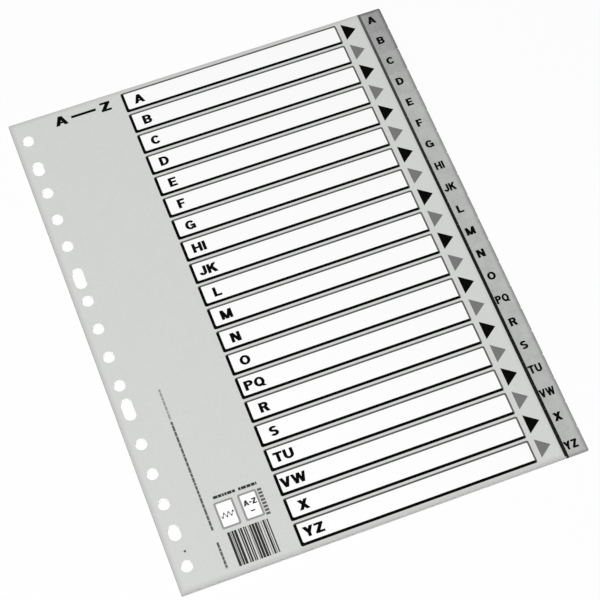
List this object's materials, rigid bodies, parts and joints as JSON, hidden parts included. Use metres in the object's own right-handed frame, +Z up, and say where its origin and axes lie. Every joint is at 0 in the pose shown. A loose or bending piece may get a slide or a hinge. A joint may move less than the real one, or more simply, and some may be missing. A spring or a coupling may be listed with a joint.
{
  "type": "alphabetical divider set",
  "caption": "A4 Maxi divider set for ring binders, with stepped letter tabs, multi-standard punching and a printed index sheet on top.",
  "frame": {"origin": "centre of the base of the stack's box, on the surface it lies on", "axes": "+X to the head of the page, +Y to the punched binding edge, so that the tabs point to -Y, +Z up out of the printed index sheet"},
  "size_m": [0.297, 0.225, 0.0032],
  "materials": {
    "index_card": "matte",
    "divider_film": "satin"
  },
  "bodies": {
    "root": {"index_sheet": "index_card", "divider_01": "divider_film", "divider_02": "divider_film", "divider_03": "divider_film", "divider_04": "divider_film", "divider_05": "divider_film", "divider_06": "divider_film", "divider_07": "divider_film", "divider_08": "divider_film", "divider_09": "divider_film", "divider_10": "divider_film", "divider_11": "divider_film", "divider_12": "divider_film", "divider_13": "divider_film", "divider_14": "divider_film", "divider_15": "divider_film", "divider_16": "divider_film", "divider_17": "divider_film", "divider_18": "divider_film", "divider_19": "divider_film", "divider_20": "divider_film"}
  },
  "joints": []
}
